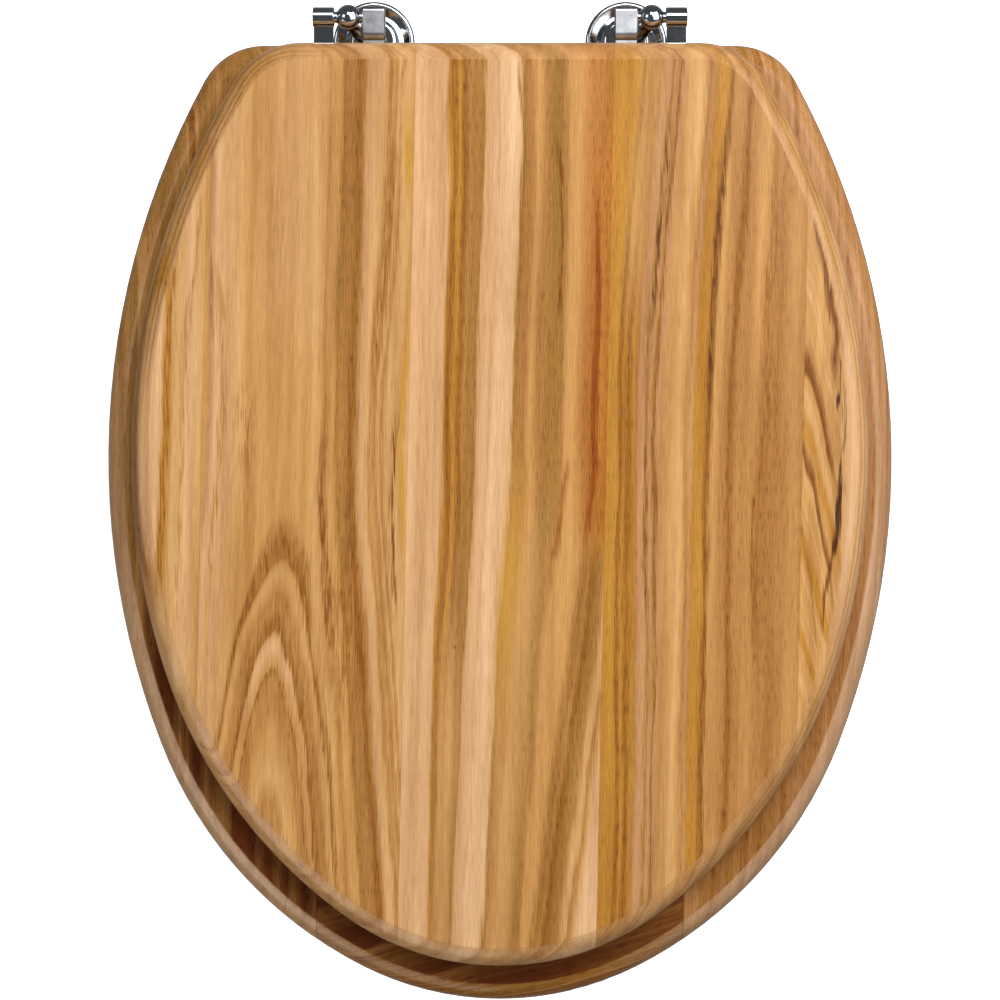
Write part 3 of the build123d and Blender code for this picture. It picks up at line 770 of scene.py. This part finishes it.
# Board at the far right: yellow with slanting brown growth lines, paler beyond a broken black split
swept = lid_wood.sum(plain, (7.0, drift), (4.0, ripple), (-1.7, depth))
swing = lid_wood.math("POWER", lid_wood.sum(-138.0, (1.0, swept)), 2.0)
slant = lid_wood.sum(forward, (2.6, swept), (0.05, swing))
fifth = lid_wood.stripes(
    lid_wood.bands(slant, 24.0, detail=2.0),
    [(0.3, gold), (0.44, honey), (0.5, honey), (0.58, straw), (0.72, honey)],
)
for path, reach, shade, share in (
    (
        [(136, 66), (140.2, 60.6), (145, 48.5), (148.7, 38), (150.5, 31), (152.5, 20), (156, 6)],
        (4, 16), chestnut, 0.95,
    ),
    (
        [(136, 32), (140.3, 22.9), (141.5, 16.5), (144.5, 8), (147.2, -3), (151.2, -24), (156, -50)],
        (4, 10), chestnut, 0.9,
    ),
    ([(138, -8), (141.2, -21), (143.5, -31.4), (145.6, -45.8), (147, -60), (149, -80)], (2, 6), olive, 0.9),
):
    fifth = lid_wood.mark(fifth, forward, swept, path, reach, shade, share)
fifth = lid_wood.wash(fifth, shell, lid_wood.ease(veined, 156.5, 160.0))
for path, reach, shade, cuts in (
    (
        [(50, 154.6), (67, 154.3), (74, 155), (91, 151.1), (101, 149.1), (122, 143.6), (140, 139)],
        (2.6, 1.6), chestnut, (),
    ),
    ([(-64, 150.6), (-44, 151.6), (-35, 152.8), (-24, 154.7), (-12, 156)], (1.4, 1.2), chestnut, ()),
    (
        [(-28, 154.6), (-19.6, 155.7), (-13.9, 156.3), (-3.3, 156.4), (3.7, 157.5), (12, 157.7)],
        (1.7, 1.5), bark, (),
    ),
    ([(-2, 157.4), (12, 157.5), (23, 158), (32, 158.9), (46, 158.9), (56, 158)], (0.9, 0.8), bark, dashed),
    ([(40, 155.8), (46, 156.1), (50, 156.6), (62, 157), (68, 156.6)], (0.9, 0.7), bark, ()),
):
    fifth = lid_wood.mark(fifth, veined, forward, path, reach, shade, 0.95, cuts)
board = glued(board, fifth, joints[3])

# The rounded edge is painted paler than the face, a painted sheen, weaker at the back and gone at the back
# left corner, which is painted darker olive as painted shade. Fine layers of the growth rings, which the edge
# cuts through, show in it on the right and at the back left corner. The steep lower part of the edge on the
# far left side is painted darker, also painted shade
edge = lid_wood.ease(depth, -0.03, -0.2)
back_left = lid_wood.product(lid_wood.ease(plain, -70.0, -125.0), lid_wood.ease(forward, 10.0, 90.0))
back_edge = lid_wood.ease(forward, 175.0, 192.0)
# Painted sheen: the rounded edge washed paler with shell, less at the back and not at the back left corner
board = lid_wood.wash(board, shell, edge, lid_wood.sum(0.4, (-0.4, back_left), (-0.1, back_edge)))
# Painted shade: the back left corner of the rounded edge washed olive
board = lid_wood.wash(board, olive, edge, back_left, 0.45)
# Painted shade: the steep lower part of the edge on the far left washed chestnut
far_left = lid_wood.product(lid_wood.ease(plain, -120.0, -150.0), lid_wood.near(forward, 20.0, 120.0))
board = lid_wood.wash(board, chestnut, lid_wood.ease(depth, -1.6, -4.5), far_left, 0.8)
right_edge = lid_wood.ease(plain, 96.0, 124.0)
layered = lid_wood.sum(depth, (1.6, drift))
for corner, level, thickness, shade, share in (
    (right_edge, -2.6, 0.55, olive, 0.5),
    (right_edge, -4.6, 0.55, olive, 0.7),
    (right_edge, -7.4, 0.55, olive, 0.6),
    (back_left, -0.9, 0.4, umber, 0.6),
    (back_left, -2.2, 0.6, umber, 0.7),
    (back_left, -5.2, 1.4, umber, 0.6),
):
    board = lid_wood.wash(board, shade, lid_wood.near(layered, level, thickness), corner, share)
for joint in joints:
    board = lid_wood.wash(board, umber, lid_wood.near(plain, joint, 0.35), 0.3)
lacquered(lid_wood, board, plain, y, z)
coat(lid_wood, ["lid"])

# Studio: a white floor, low enough for the open lid to clear it, soft boxes on the right, left, back and
# front and a small card on the left. The floor lights nothing and isn't mirrored in the chrome.
floor_level = -0.18
floor_half = 6.0
light_aim = Vector((0, -0.2, 0.03))
floor_paint = Finish("white_floor")
floor_paint.set("Base Color", (0.9, 0.9, 0.9, 1.0))
floor_paint.set("Roughness", 0.8)
floor_paint.set("Emission Color", (1.0, 1.0, 1.0, 1.0))
floor_paint.set("Emission Strength", 0.9)
corners = [(a * floor_half, b * floor_half, floor_level) for a, b in ((-1, -1), (1, -1), (1, 1), (-1, 1))]
floor_mesh = bpy.data.meshes.new("floor")
floor_mesh.from_pydata(corners, [], [(0, 1, 2, 3)])
floor_mesh.materials.append(floor_paint.material)
floor = bpy.data.objects.new("floor", floor_mesh)
floor.visible_glossy = False
floor.visible_diffuse = False
bpy.context.scene.collection.objects.link(floor)


def soft_box(name, place, size, radiance):
    """A rectangular light at place, in metres, turned to the middle of the seat."""
    lamp = bpy.data.lights.new(name, "AREA")
    lamp.shape = "RECTANGLE"
    lamp.size, lamp.size_y = size
    lamp.energy = np.pi * size[0] * size[1] * radiance
    light = bpy.data.objects.new(name, lamp)
    light.location = place
    light.rotation_euler = (light_aim - Vector(place)).to_track_quat("-Z", "Y").to_euler()
    light.visible_camera = False
    bpy.context.scene.collection.objects.link(light)


soft_box("right_box", (0.68, 0.08, 0.86), (1.3, 1.1), 2.1)
soft_box("left_box", (-0.95, -0.9, 0.5), (1.0, 0.8), 0.7)
soft_box("left_card", (-0.75, 0.1, 0.8), (0.42, 0.42), 1.85)
soft_box("back_box", (0.3, 0.7, 1.5), (1.2, 0.6), 5.2)
soft_box("front_box", (-0.7, -1.35, 0.45), (1.6, 0.7), 1.3)

# The world round the seat is dark to the front and light to the back. The chrome mirrors it dark, a little
# lighter from below, and the camera sees it almost white
sky = bpy.data.worlds.new("studio")
sky.use_nodes = True
bpy.context.scene.world = sky
sky_nodes, sky_links = sky.node_tree.nodes, sky.node_tree.links
backdrop = sky_nodes["Background"]
backdrop.inputs["Color"].default_value = (1.0, 1.0, 1.0, 1.0)
ray = sky_nodes.new("ShaderNodeLightPath")
bearing = sky_nodes.new("ShaderNodeSeparateXYZ")
sky_links.new(sky_nodes.new("ShaderNodeTexCoord").outputs["Generated"], bearing.inputs[0])


def sky_ramp(direction, low, high, start, end):
    """start where a direction's part is low, and end where it is high."""
    ramp = sky_nodes.new("ShaderNodeMapRange")
    for socket, value in (("From Min", low), ("From Max", high), ("To Min", start), ("To Max", end)):
        ramp.inputs[socket].default_value = value
    sky_links.new(direction, ramp.inputs["Value"])
    return ramp.outputs["Result"]


def sky_choice(share, first, second):
    """first, or second where share is 1."""
    choice = sky_nodes.new("ShaderNodeMix")
    for socket, value in (("Factor", share), ("A", first), ("B", second)):
        if isinstance(value, bpy.types.NodeSocket):
            sky_links.new(value, choice.inputs[socket])
        else:
            choice.inputs[socket].default_value = value
    return choice.outputs["Result"]


fill = sky_ramp(bearing.outputs["Y"], 0.25, 0.95, 0.06, 0.8)
surround = sky_ramp(bearing.outputs["Z"], -0.9, -0.3, 0.3, 0.08)
strength = sky_choice(ray.outputs["Is Glossy Ray"], fill, surround)
strength = sky_choice(ray.outputs["Is Camera Ray"], strength, 0.85)
sky_links.new(strength, backdrop.inputs["Strength"])

# Camera: straight above the middle of the lid, with a long lens
camera = bpy.data.objects.new("camera", bpy.data.cameras.new("camera"))
camera.location = (0.0, lid_middle / 1000, 1.6)
camera.data.lens = 120.53
camera.data.sensor_width = 36.0
bpy.context.scene.collection.objects.link(camera)
bpy.context.scene.camera = camera
bpy.context.scene.view_settings.view_transform = "Standard"
